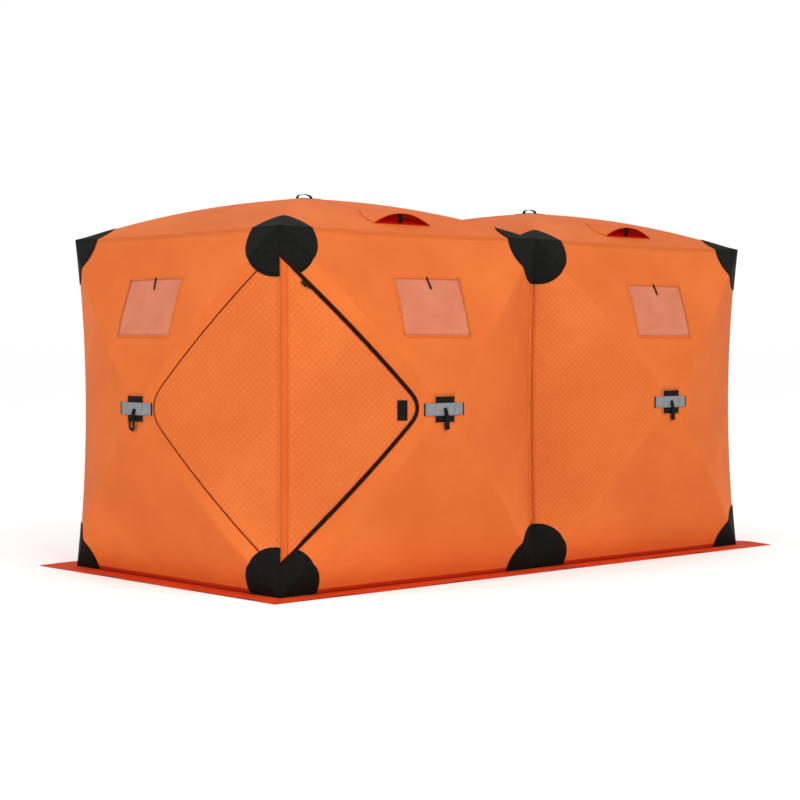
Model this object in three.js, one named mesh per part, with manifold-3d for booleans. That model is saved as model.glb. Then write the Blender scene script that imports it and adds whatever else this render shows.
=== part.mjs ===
// Pop-up ice fishing shelter: two hub-frame cubes side by side.
// Each wall and roof panel is one square of cloth, pushed out in the middle by a hub and four bowed poles.
// Millimetres, +X along the length, +Y to the back, +Z up, origin on the ground under the middle.

import * as THREE from 'three'
import { mergeVertices } from 'three/addons/utils/BufferGeometryUtils.js'
import Module from 'manifold-3d'

const wasm = await Module()
wasm.setup()

// Driving dimensions
const CUBE_SIDE = 1805
const WALL_HEIGHT = 1820
const WALL_BULGE = 224
const ROOF_BULGE = 222
const RIDGE_BOW = 40
const CORNER_SAG = 35
const EAVE_SAG = 8
const JOIN_SAG = 30
const CLOTH_THICKNESS = 4
const PIECE_GAP = 0.5

// Hub and poles. Depths are measured along a panel's outward axis from the pin line.
const PIN_DEPTH = 26
const PIN_RADIUS = 3
const PIN_OFFSET = 50
const HUB_HOLE_HALF = 70
const HUB_PATCH_HALF = 65
const HUB_PATCH_THICKNESS = 4
const HUB_CORE_RADIUS = 36
const HUB_CAP_RADIUS = 58
const HUB_CORE_BOTTOM = -14
const HUB_CAP_BOTTOM = 12
const CHEEK_LENGTH = 28
const CHEEK_THICKNESS = 5
const CHEEK_HEIGHT = 24
const CHEEK_OFFSET = 8
const CHEEK_ROOT = 2
const TONGUE_THICKNESS = 8
const TONGUE_HEIGHT = 14
const TONGUE_LENGTH = 30
const FERRULE_RADIUS = 8
const FERRULE_LENGTH = 62
const POLE_RADIUS = 5.5
const POLE_TIP_CLEARANCE = 80
const PIN_SLACK = 1
const MERGE = 1

// Corner door: half a diamond on each of the two walls that meet at the corner
const DOOR_BOTTOM = 149
const DOOR_TOP = 1683
const DOOR_REACH = 735
const DOOR_POINT_ROUND = 60
const ZIP_CHANNEL = 24
const DOOR_HINGE_GAP = 55
const SLIDER = { width: 14, length: 34, thickness: 12, start: 200 }

// Roof vent
const VENT_WIDTH = 400
const VENT_ARCH = 58
const VENT_DEPTH = 300
const VENT_INSET = 128
const VENT_OFFSET = 34
const VENT_CLOTH = 3
const VENT_LIFT = 4
const PROP = { width: 30, thickness: 4, height: 46, setback: 22, lift: 2 }

// Snow skirt
const SKIRT_WIDTH = 154
const SKIRT_THICKNESS = 4
const SKIRT_GAP = 3

const HALF_LENGTH = CUBE_SIDE
const HALF_DEPTH = CUBE_SIDE / 2
const HALF_HEIGHT = WALL_HEIGHT / 2

const materials = {
  cloth: { color: 0xe87a40, roughness: 0.75, metalness: 0 },
  doorCloth: { color: 0xe6733c, roughness: 0.75, metalness: 0 },
  skirt: { color: 0xcd4e28, roughness: 0.8, metalness: 0 },
  hub: { color: 0x1d1c1a, roughness: 0.55, metalness: 0 },
  pole: { color: 0xd8d2c0, roughness: 0.45, metalness: 0 },
  zip: { color: 0x2d1205, roughness: 0.4, metalness: 0.3 },
  strap: { color: 0x1c1c1a, roughness: 0.8, metalness: 0 },
}

const X = new THREE.Vector3(1, 0, 0)
const Y = new THREE.Vector3(0, 1, 0)
const Z = new THREE.Vector3(0, 0, 1)

const group = new THREE.Group()

function addPiece(parent, name, geometry, look) {
  geometry.computeVertexNormals()
  const mesh = new THREE.Mesh(geometry, new THREE.MeshStandardMaterial(materials[look]))
  mesh.name = name
  parent.add(mesh)
  return mesh
}

// Solids: joining and cutting

function toSolid(geometry) {
  const bare = geometry.clone()
  bare.deleteAttribute('normal')
  bare.deleteAttribute('uv')
  const merged = mergeVertices(bare, 1e-3)
  return new wasm.Manifold(new wasm.Mesh({
    numProp: 3,
    vertProperties: Float32Array.from(merged.attributes.position.array),
    triVerts: Uint32Array.from(merged.index.array),
  }))
}

function toGeometry(solid) {
  const mesh = solid.getMesh()
  const geometry = new THREE.BufferGeometry()
  geometry.setAttribute('position', new THREE.BufferAttribute(mesh.vertProperties, 3))
  geometry.setIndex(new THREE.BufferAttribute(mesh.triVerts, 1))
  return geometry
}

function joined(geometries) {
  return geometries.map(toSolid).reduce((whole, piece) => whole.add(piece))
}

function box(width, depth, height, x, y, z) {
  return new THREE.BoxGeometry(width, depth, height).translate(x, y, z)
}

function cylinderAlongX(radius, length, x, sides) {
  return new THREE.CylinderGeometry(radius, radius, length, sides).rotateZ(Math.PI / 2).translate(x, 0, 0)
}

// Panels. In a panel's own frame x runs to its right and y up as seen from outside, and z points outward.

// What a panel meets at each edge, in the order bottom, right, top, left
const EDGE_DIRECTIONS = [[0, -1], [1, 0], [0, 1], [-1, 0]]
const CORNER_SIGNS = [[-1, -1], [1, -1], [1, 1], [-1, 1]]
const EDGE_SAG = { ground: 0, corner: CORNER_SAG, eave: EAVE_SAG, join: JOIN_SAG }
const EDGE_INSET = {
  ground: 0,
  corner: CLOTH_THICKNESS + PIECE_GAP,
  eave: CLOTH_THICKNESS + PIECE_GAP,
  join: PIECE_GAP,
}

const wall = (name, centre, right, edges) => ({
  name, centre, right, up: Z, edges, bulge: WALL_BULGE, halfHeight: HALF_HEIGHT,
})
const roof = (name, centre, edges) => ({
  name, centre, right: X, up: Y, edges, bulge: ROOF_BULGE, halfHeight: HALF_DEPTH,
})
const at = (x, y, z) => new THREE.Vector3(x, y, z)
const backwards = (axis) => axis.clone().negate()

const panels = [
  wall('front_left', at(-HALF_DEPTH, -HALF_DEPTH, HALF_HEIGHT), X, ['ground', 'join', 'eave', 'corner']),
  wall('front_right', at(HALF_DEPTH, -HALF_DEPTH, HALF_HEIGHT), X, ['ground', 'corner', 'eave', 'join']),
  wall('right_end', at(HALF_LENGTH, 0, HALF_HEIGHT), Y, ['ground', 'corner', 'eave', 'corner']),
  wall('back_right', at(HALF_DEPTH, HALF_DEPTH, HALF_HEIGHT), backwards(X),
    ['ground', 'join', 'eave', 'corner']),
  wall('back_left', at(-HALF_DEPTH, HALF_DEPTH, HALF_HEIGHT), backwards(X),
    ['ground', 'corner', 'eave', 'join']),
  wall('left_end', at(-HALF_LENGTH, 0, HALF_HEIGHT), backwards(Y), ['ground', 'corner', 'eave', 'corner']),
  roof('left_roof', at(-HALF_DEPTH, 0, WALL_HEIGHT), ['eave', 'join', 'eave', 'eave']),
  roof('right_roof', at(HALF_DEPTH, 0, WALL_HEIGHT), ['eave', 'eave', 'eave', 'join']),
]

// Corner of the panel's cloth, drawn in a little from the neighbouring panels
function clothCorner(panel, index) {
  const [signX, signY] = CORNER_SIGNS[index]
  const sideEdge = panel.edges[signX > 0 ? 1 : 3]
  const levelEdge = panel.edges[signY > 0 ? 2 : 0]
  return at(
    signX * (HALF_DEPTH - EDGE_INSET[sideEdge]),
    signY * (panel.halfHeight - EDGE_INSET[levelEdge]),
    0,
  )
}

// Point on the ridge from a corner (t = 0) to the same corner of the hub's square (t = 1)
function ridgePoint(panel, index, t) {
  const [signX, signY] = CORNER_SIGNS[index]
  const hubCorner = at(signX * HUB_HOLE_HALF, signY * HUB_HOLE_HALF, panel.bulge)
  const point = clothCorner(panel, index).lerp(hubCorner, t)
  point.z += 4 * RIDGE_BOW * t * (1 - t)
  return point
}

// Point on the outside of one triangle of cloth: u runs along its outer edge, t from that edge to the hub
function clothPoint(panel, edge, t, u) {
  const point = ridgePoint(panel, edge, t).lerp(ridgePoint(panel, (edge + 1) % 4, t), u)
  const kind = panel.edges[edge]
  const drop = EDGE_SAG[kind] * 4 * u * (1 - u) * (1 - t) ** 2
  const [alongX, alongY] = EDGE_DIRECTIONS[edge]
  const sideways = kind === 'join' ? 0 : drop
  return point.sub(at(alongX * sideways, alongY * sideways, drop))
}

// The same cloth above a place on the panel's plane, on its bottom triangle
function clothPointAbove(panel, x, y) {
  const low = clothCorner(panel, 0).y
  const t = (y - low) / (-HUB_HOLE_HALF - low)
  const left = ridgePoint(panel, 0, t).x
  const right = ridgePoint(panel, 1, t).x
  return clothPoint(panel, 0, t, (x - left) / (right - left))
}

// Rows of points on the outside and the same number on the inside become one closed skin.
// A ring joins its rows end to end; an open sheet has two more edges to close.
function closedSkin(outer, inner, isRing) {
  const rows = outer.length
  const columns = outer[0].length
  const positions = [...outer.flat(), ...inner.flat()].flatMap((p) => p.toArray())
  const outside = (row, column) => row * columns + (column % columns)
  const inside = (row, column) => rows * columns + outside(row, column)
  const faces = []
  const addQuad = (a, b, c, d) => faces.push(a, b, c, a, c, d)
  const spans = isRing ? columns : columns - 1
  for (let row = 0; row < rows - 1; row++) {
    for (let k = 0; k < spans; k++) {
      addQuad(outside(row, k), outside(row, k + 1), outside(row + 1, k + 1), outside(row + 1, k))
      addQuad(inside(row, k), inside(row + 1, k), inside(row + 1, k + 1), inside(row, k + 1))
    }
  }
  const last = rows - 1
  for (let k = 0; k < spans; k++) {
    addQuad(outside(0, k), inside(0, k), inside(0, k + 1), outside(0, k + 1))
    addQuad(outside(last, k), outside(last, k + 1), inside(last, k + 1), inside(last, k))
  }
  if (!isRing) {
    for (let row = 0; row < rows - 1; row++) {
      addQuad(outside(row, 0), outside(row + 1, 0), inside(row + 1, 0), inside(row, 0))
      addQuad(outside(row, spans), inside(row, spans), inside(row + 1, spans), outside(row + 1, spans))
    }
  }
  const geometry = new THREE.BufferGeometry()
  geometry.setAttribute('position', new THREE.Float32BufferAttribute(positions, 3))
  geometry.setIndex(faces)
  return geometry
}

function lowered(rows, depth) {
  return rows.map((row) => row.map((p) => p.clone().sub(at(0, 0, depth))))
}

// One panel of cloth: four triangles round the square hole for the hub
function clothGeometry(panel) {
  const rings = 4
  const stepsPerEdge = 5
  const outer = []
  for (let ring = 0; ring <= rings; ring++) {
    const row = []
    for (let edge = 0; edge < 4; edge++) {
      for (let step = 0; step < stepsPerEdge; step++) {
        row.push(clothPoint(panel, edge, ring / rings, step / stepsPerEdge))
      }
    }
    outer.push(row)
  }
  return closedSkin(outer, lowered(outer, CLOTH_THICKNESS), true)
}

// Corner doors

// Half-diamond on the wall's plane, drawn in from its two sloping sides, as a cutting prism.
// side is -1 where the door is at the wall's left edge and 1 where it is at its right edge.
function doorPrism(side, inset, edgeGap) {
  const half = (DOOR_TOP - DOOR_BOTTOM) / 2
  const middle = (DOOR_TOP + DOOR_BOTTOM) / 2 - HALF_HEIGHT
  const sideLength = Math.hypot(half, DOOR_REACH)
  const reach = DOOR_REACH - (inset * sideLength) / half
  const rise = (reach * half) / DOOR_REACH
  const edge = HALF_DEPTH - edgeGap
  const point = HALF_DEPTH - reach
  const slope = half / DOOR_REACH
  const riseAtEdge = rise - (HALF_DEPTH - edge) * slope
  const roundRise = DOOR_POINT_ROUND * slope
  const outline = new THREE.Shape()
  outline.moveTo(side * edge, middle + riseAtEdge)
  outline.lineTo(side * (point + DOOR_POINT_ROUND), middle + roundRise)
  outline.quadraticCurveTo(side * point, middle, side * (point + DOOR_POINT_ROUND), middle - roundRise)
  outline.lineTo(side * edge, middle - riseAtEdge)
  const options = { depth: 2 * WALL_BULGE, bevelEnabled: false, curveSegments: 4 }
  return toSolid(new THREE.ExtrudeGeometry(outline, options).translate(0, 0, -WALL_BULGE / 2))
}

const DOOR_BEYOND_EDGE = -40
const SEWN_SEAM_GAP = 1

function addDoorFlap(parent, name, cloth) {
  const flap = cloth.intersect(doorPrism(-1, ZIP_CHANNEL, DOOR_HINGE_GAP))
  addPiece(parent, name, toGeometry(flap), 'doorCloth')
}

function addSewnDoorSide(parent, name, cloth) {
  const side = cloth.intersect(doorPrism(1, SEWN_SEAM_GAP, DOOR_BEYOND_EDGE))
  addPiece(parent, name, toGeometry(side), 'doorCloth')
}

// Place on the closed zip's upper leg, a distance down from the top of the door
function zipPoint(panel, distance) {
  const half = (DOOR_TOP - DOOR_BOTTOM) / 2
  const leg = Math.hypot(half, DOOR_REACH)
  const inset = (ZIP_CHANNEL / 2) * (leg / half)
  const x = -HALF_DEPTH - inset + (distance * DOOR_REACH) / leg
  const y = DOOR_TOP - HALF_HEIGHT - (distance * half) / leg
  const edge = clothCorner(panel, 3).x
  const t = (x - edge) / (-HUB_HOLE_HALF - edge)
  const low = ridgePoint(panel, 0, t).y
  const high = ridgePoint(panel, 3, t).y
  const height = clothPoint(panel, 3, t, (high - y) / (high - low)).z
  return at(x, y, height)
}

const ZIP_TRAVEL = 600

function addZipSlider(parent, panel, name) {
  const start = zipPoint(panel, SLIDER.start)
  const end = zipPoint(panel, SLIDER.start + ZIP_TRAVEL)
  const body = box(SLIDER.length, SLIDER.width, SLIDER.thickness, 0, 0, 0)
  const slider = addPiece(parent, name, body, 'zip')
  slider.position.copy(start)
  slider.quaternion.setFromUnitVectors(X, end.sub(start).normalize())
}

// Frame

// One moulded hub with four clevises, their cross pins, and the square patch on the outside of the cloth.
// Its own frame has z = 0 on the line of the pins.
function hubGeometry(poleAngles) {
  const patchBottom = PIN_DEPTH - MERGE
  const coreHeight = patchBottom - HUB_CORE_BOTTOM + MERGE
  const core = new THREE.CylinderGeometry(HUB_CORE_RADIUS, HUB_CORE_RADIUS, coreHeight, 12)
  core.rotateX(Math.PI / 2).translate(0, 0, HUB_CORE_BOTTOM + coreHeight / 2)
  const capHeight = patchBottom - HUB_CAP_BOTTOM + MERGE
  const cap = new THREE.CylinderGeometry(HUB_CAP_RADIUS, HUB_CAP_RADIUS, capHeight, 12)
  cap.rotateX(Math.PI / 2).translate(0, 0, HUB_CAP_BOTTOM + capHeight / 2)
  const patchSide = 2 * HUB_PATCH_HALF
  const patch = box(patchSide, patchSide, HUB_PATCH_THICKNESS, 0, 0, patchBottom + HUB_PATCH_THICKNESS / 2)
  const pieces = [core, cap, patch]
  for (const angle of poleAngles) {
    const cheekX = HUB_CORE_RADIUS - CHEEK_ROOT + CHEEK_LENGTH / 2
    const cheekZ = HUB_CAP_BOTTOM + MERGE - CHEEK_HEIGHT / 2
    for (const side of [-1, 1]) {
      const cheek = box(CHEEK_LENGTH, CHEEK_THICKNESS, CHEEK_HEIGHT, cheekX, side * CHEEK_OFFSET, cheekZ)
      pieces.push(cheek.rotateZ(angle))
    }
    const pin = new THREE.CylinderGeometry(PIN_RADIUS, PIN_RADIUS, 2 * CHEEK_OFFSET + 2 * MERGE, 6)
    pieces.push(pin.translate(PIN_OFFSET, 0, 0).rotateZ(angle))
  }
  return toGeometry(joined(pieces))
}

// One bowed pole. Its own frame has x away from the hub along the ridge and z outward, 0 at the pin line.
function poleGeometry(panel, corner) {
  const cornerRadius = clothCorner(panel, corner).length()
  const hubRadius = HUB_HOLE_HALF * Math.SQRT2
  const tipShare = POLE_TIP_CLEARANCE / (cornerRadius - hubRadius)
  const steps = 5
  const centreline = []
  for (let step = 0; step <= steps; step++) {
    const t = 1 - (step / steps) * (1 - tipShare)
    const radius = cornerRadius + (hubRadius - cornerRadius) * t
    centreline.push(at(radius, 0, panel.bulge * (t - 1) + 4 * RIDGE_BOW * t * (1 - t)))
  }
  const section = new THREE.Shape()
  section.absarc(0, 0, POLE_RADIUS, 0, 2 * Math.PI)
  const rod = new THREE.ExtrudeGeometry(section, {
    steps,
    curveSegments: 3,
    extrudePath: new THREE.CatmullRomCurve3(centreline),
    bevelEnabled: false,
  })
  const ferruleStart = PIN_OFFSET + TONGUE_LENGTH / 2
  const ferrule = cylinderAlongX(FERRULE_RADIUS, FERRULE_LENGTH, ferruleStart + FERRULE_LENGTH / 2, 6)
  const tongueX = PIN_OFFSET - TONGUE_HEIGHT / 2 + TONGUE_LENGTH / 2
  const tongue = box(TONGUE_LENGTH, TONGUE_THICKNESS, TONGUE_HEIGHT, tongueX, 0, 0)
  const pinHole = new THREE.CylinderGeometry(PIN_RADIUS + PIN_SLACK, PIN_RADIUS + PIN_SLACK, 2 * CHEEK_OFFSET, 6)
  pinHole.translate(PIN_OFFSET, 0, 0)
  return toGeometry(joined([rod, ferrule, tongue]).subtract(toSolid(pinHole)))
}

const POLE_PLACES = ['lower_left', 'lower_right', 'upper_right', 'upper_left']

function addFrame(parent, panel) {
  const pinLine = new THREE.Group()
  pinLine.position.z = panel.bulge - PIN_DEPTH
  parent.add(pinLine)
  const angles = CORNER_SIGNS.map((signs, index) => {
    const corner = clothCorner(panel, index)
    return Math.atan2(corner.y, corner.x)
  })
  addPiece(pinLine, `${panel.name}_hub`, hubGeometry(angles), 'hub')
  angles.forEach((angle, index) => {
    const name = `${panel.name}_pole_${POLE_PLACES[index]}`
    addPiece(pinLine, name, poleGeometry(panel, index), 'pole').rotation.z = angle
  })
}

// Roof vent: a hood of cloth, open to the front, over a short prop

function hoodGeometry(panel) {
  const across = 8
  const back = 3
  const mouth = -HALF_DEPTH + VENT_INSET
  const rows = []
  for (let row = 0; row <= back; row++) {
    const points = []
    for (let k = 0; k <= across; k++) {
      const s = (2 * k) / across - 1
      const depth = VENT_DEPTH * (1 - 0.8 * s * s)
      const r = row / back
      const x = VENT_OFFSET + (s * VENT_WIDTH) / 2
      const point = clothPointAbove(panel, x, mouth + r * depth)
      point.z += VENT_LIFT + VENT_CLOTH + VENT_ARCH * (1 - s * s) * (1 - r)
      points.push(point)
    }
    rows.push(points)
  }
  return closedSkin(rows, lowered(rows, VENT_CLOTH), false)
}

function addVent(parent, panel, side) {
  addPiece(parent, `${side}_vent_hood`, hoodGeometry(panel), 'cloth')
  const foot = clothPointAbove(panel, VENT_OFFSET, -HALF_DEPTH + VENT_INSET + PROP.setback)
  const blade = box(PROP.width, PROP.thickness, PROP.height, 0, 0, PROP.height / 2 + PROP.lift)
  addPiece(parent, `${side}_vent_prop`, blade, 'strap').position.copy(foot)
}

// Snow skirt: a flat band on the ground all round the walls

function addSnowSkirt() {
  const rectangle = (Path, grow) => {
    const x = HALF_LENGTH + grow
    const y = HALF_DEPTH + grow
    return new Path([[-x, -y], [x, -y], [x, y], [-x, y]].map(([px, py]) => new THREE.Vector2(px, py)))
  }
  const outline = rectangle(THREE.Shape, SKIRT_WIDTH)
  outline.holes.push(rectangle(THREE.Path, SKIRT_GAP))
  const band = new THREE.ExtrudeGeometry(outline, { depth: SKIRT_THICKNESS, bevelEnabled: false })
  addPiece(group, 'snow_skirt', band, 'skirt')
}

// Doors are at the front left corner and, diagonally opposite, at the back right corner

const FLAP_WALLS = { front_left: 'front_door', back_right: 'back_door' }
const SEWN_SIDE_WALLS = { left_end: 'front_door', right_end: 'back_door' }

for (const panel of panels) {
  const place = new THREE.Group()
  place.position.copy(panel.centre)
  const outward = panel.right.clone().cross(panel.up)
  place.quaternion.setFromRotationMatrix(new THREE.Matrix4().makeBasis(panel.right, panel.up, outward))
  group.add(place)

  const cloth = toSolid(clothGeometry(panel))
  let remaining = cloth
  if (panel.name in FLAP_WALLS) {
    const door = FLAP_WALLS[panel.name]
    remaining = cloth.subtract(doorPrism(-1, 0, DOOR_BEYOND_EDGE))
    addDoorFlap(place, `${door}_flap`, cloth)
    addZipSlider(place, panel, `${door}_zip_slider`)
  }
  if (panel.name in SEWN_SIDE_WALLS) {
    remaining = cloth.subtract(doorPrism(1, 0, DOOR_BEYOND_EDGE))
    addSewnDoorSide(place, `${SEWN_SIDE_WALLS[panel.name]}_sewn_side`, cloth)
  }
  addPiece(place, `${panel.name}_cloth`, toGeometry(remaining), 'cloth')
  addFrame(place, panel)
}

for (const side of ['left', 'right']) {
  const panel = panels.find((candidate) => candidate.name === `${side}_roof`)
  const place = new THREE.Group()
  place.position.copy(panel.centre)
  group.add(place)
  addVent(place, panel, side)
}

addSnowSkirt()

export default group
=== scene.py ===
"""Looks of a pop-up ice fishing shelter made of two hub-frame cubes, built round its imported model.

Every panel is described in its own plane: s runs along one outer edge of the panel, d runs from
that edge in towards the hub, and the cloth's height above the plane follows from the two.
"""

import math

import bmesh
import bpy
import numpy as np
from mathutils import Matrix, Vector


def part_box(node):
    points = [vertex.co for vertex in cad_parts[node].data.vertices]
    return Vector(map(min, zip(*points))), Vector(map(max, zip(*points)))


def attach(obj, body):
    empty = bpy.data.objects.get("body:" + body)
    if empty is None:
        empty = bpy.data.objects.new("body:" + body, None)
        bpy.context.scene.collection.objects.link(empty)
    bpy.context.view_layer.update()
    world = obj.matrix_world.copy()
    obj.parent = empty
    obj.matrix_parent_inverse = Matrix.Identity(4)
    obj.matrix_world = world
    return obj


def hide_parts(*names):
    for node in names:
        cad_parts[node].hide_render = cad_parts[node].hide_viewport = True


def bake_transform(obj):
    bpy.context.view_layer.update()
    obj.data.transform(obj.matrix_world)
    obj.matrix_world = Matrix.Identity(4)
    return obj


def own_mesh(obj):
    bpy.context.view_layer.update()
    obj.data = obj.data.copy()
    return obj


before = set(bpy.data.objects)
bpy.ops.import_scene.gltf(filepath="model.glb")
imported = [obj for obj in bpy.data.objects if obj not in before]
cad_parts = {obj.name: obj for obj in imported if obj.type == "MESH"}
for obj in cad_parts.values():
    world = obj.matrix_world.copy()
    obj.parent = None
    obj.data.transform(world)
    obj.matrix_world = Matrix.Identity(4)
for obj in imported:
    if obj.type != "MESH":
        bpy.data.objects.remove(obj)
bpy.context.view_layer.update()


# ---------------------------------------------------------------- sizes, from the frame

def centre_of(node):
    low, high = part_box(node)
    return (low + high) / 2


def size_of(node):
    low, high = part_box(node)
    return high - low


CUBE_SIDE = centre_of("front_right_hub").x - centre_of("front_left_hub").x
WALL_HEIGHT = 2 * centre_of("front_left_hub").z
HALF = CUBE_SIDE / 2
HUB_PROUD = 0.003
TOUCH = 1e-5
WALL_BULGE = -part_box("front_left_hub")[0].y - HALF - HUB_PROUD
ROOF_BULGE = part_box("left_roof_hub")[1].z - WALL_HEIGHT - HUB_PROUD
HUB_PATCH = size_of("front_left_hub").x
HUB_SQUARE = HUB_PATCH / 2 + 0.005
RIDGE_BOW = 0.040
SAG = {"ground": 0.0, "corner": 0.035, "eave": 0.008, "join": 0.030}
CLOTH = 0.0012
RIDGE_ROUND = 0.030
ROUNDING_START = 0.05
NORMAL_STEP = 0.004

PIN_DEPTH = 0.026
PIN_OFFSET = 0.050
POLE_DEPTH = 0.016
POLE_RADIUS = 0.0055

DOOR_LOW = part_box("front_door_sewn_side")[0].z
DOOR_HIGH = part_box("front_door_sewn_side")[1].z
DOOR_REACH = 0.757
FLAP_RAISE = 0.008
SEWN_GROW = 0.034
SEWN_ROUND = 0.107
DOOR_ROUND = 0.075
ZIP_WIDTH = 0.022
ZIP_TAPER = 0.22
DOOR_FOLD = 0.036
DOOR_POINT = DOOR_REACH - DOOR_ROUND / 2
DOOR_TAB = {"width": 0.058, "height": 0.102, "inset": 0.050, "lift": 0.0045}
FLAP_CLEAR = 0.004
FLAP_LIFT = 0.0012
ZIP_LIFT = 0.0048
ZIP_COIL = {"width": 0.0052, "rise": 0.0016}
PULL_TAB = {"length": 0.034, "width": 0.008, "thickness": 0.0018, "lean": 0.04, "clear": 0.001}
SLIDER_ROUND = 0.0025
NARROWEST = 0.02
PIPING = {"width": 0.006, "lift": 0.0024, "thickness": 0.0016}
SEWN_LIFT = 0.0008
TRIM = {"tape": 0.0012, "coil": 0.0016, "tab": 0.0025}

PATCH_RADIUS = 0.250
PATCH_SHAPES = {
    "side": {"edge": 0.246, "ridge": 0.227, "belly": 0.008},
    "foot": {"edge": 0.228, "ridge": 0.227, "belly": 0.010},
    "eave": {"edge": 0.212, "ridge": 0.227, "belly": 0.016},
    "roof": {"edge": 0.212, "ridge": 0.224, "belly": 0.006},
}
PATCH_LIFT = 0.0030
PATCH_THICKNESS = 0.0012
PATCH_LAP = 0.0032
HUB_PATCH_RISE = 0.0016
HUB_PATCH_LIFT = 0.0028
HUB_PATCH_LAP = 0.001
HUB_PATCH_EDGE = 0.16
HUB_PATCH_THICKNESS = 0.0015
HUB_ROUND = 0.0012
BAND_LIFT = 0.0062
BAND_WIDTH = 0.272
BAND_HEIGHT = 0.065
BAND_END_LIFT = 0.0026
BAND_HEM = {"width": 0.008, "lift": 0.0036, "thickness": 0.0012}
STRAP_LENGTH = 0.112
STRAP_THICKNESS = 0.0018
STRAP_LIFT = BAND_LIFT + 0.002
PULL_STRAP = {"start": (-0.003, 0.008), "drift": 0.012, "width": 0.020, "flare": 0.015}
PULL_STRAP_RISE = {"bow": 0.006, "end": 0.004}
LOOP = {"width": 0.016, "neck": 0.0055, "eye": 0.018, "round": 0.014, "tilt": -0.16, "proud": 0.010}
HANDLE = {"half_length": 0.050, "cut": 0.11, "width": 0.022, "lift": 0.0045, "rise": 0.024}
WINDOW = {"width": 0.465, "top": 0.232, "bottom": 0.535}
WINDOW_LAP = 0.010
WINDOW_TAPE = 0.011
WINDOW_LIFT = {"film": -0.0016, "tape": 0.0008}
WINDOW_FILM = 0.0008
TOGGLE = {"start": (0.004, -0.004), "end": (-0.010, 0.060)}
TOGGLE_STRAP = {"width": 0.009, "lift": 0.0050, "thickness": 0.0030}
VENT_WIDTH = size_of("left_vent_hood").x
VENT_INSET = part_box("left_vent_hood")[0].y + HALF
VENT_DEPTH = 0.300
VENT_LIFT = 0.0026
VENT_ARCH = 0.058
VENT_ROUND = 0.8
VENT_CLOTH = 0.0008
VENT_RIM = 0.0022
LINING_DROP = 0.0014
UNDER_VENT = {"grow": -0.006, "arch": 0.0, "drop": 0.0018}
PROP = {"bow": 0.012, "clear": 0.001, "length": 0.06, "thickness": 0.003}
VENT_OFFSET = centre_of("left_vent_hood").x + HALF
SKIRT_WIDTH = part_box("snow_skirt")[1].y - HALF
SKIRT_GAP = 0.003
SKIRT_LIFT = 0.0018
SKIRT_CLOTH = 0.0014
SKIRT_ROWS = 12
SKIRT_COLUMNS = 61
SKIRT_HEM = {"start": 0.86, "rise": 0.0012}
RIPPLE = 0.0022
WAVES = ((1.0, 7.3, 0.0), (0.6, 17.1, 1.0), (0.4, 31.7, 2.0))
WAVES_RAISED = 1.4
FOOT_TAPE = 0.026
FOOT_LIFT = 0.0016
JOIN_COVER = 0.050
COVER_LIFT = 0.0018
JOIN_SEAM = {"width": 0.0050, "lift": 0.0024, "thickness": 0.0012}


# ---------------------------------------------------------------- panels

EDGES = ("bottom", "right", "top", "left")
TOWARDS = {"bottom": (0, -1), "right": (1, 0), "top": (0, 1), "left": (-1, 0)}
ALONG = {"bottom": (1, 0), "right": (0, 1), "top": (-1, 0), "left": (0, -1)}


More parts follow.
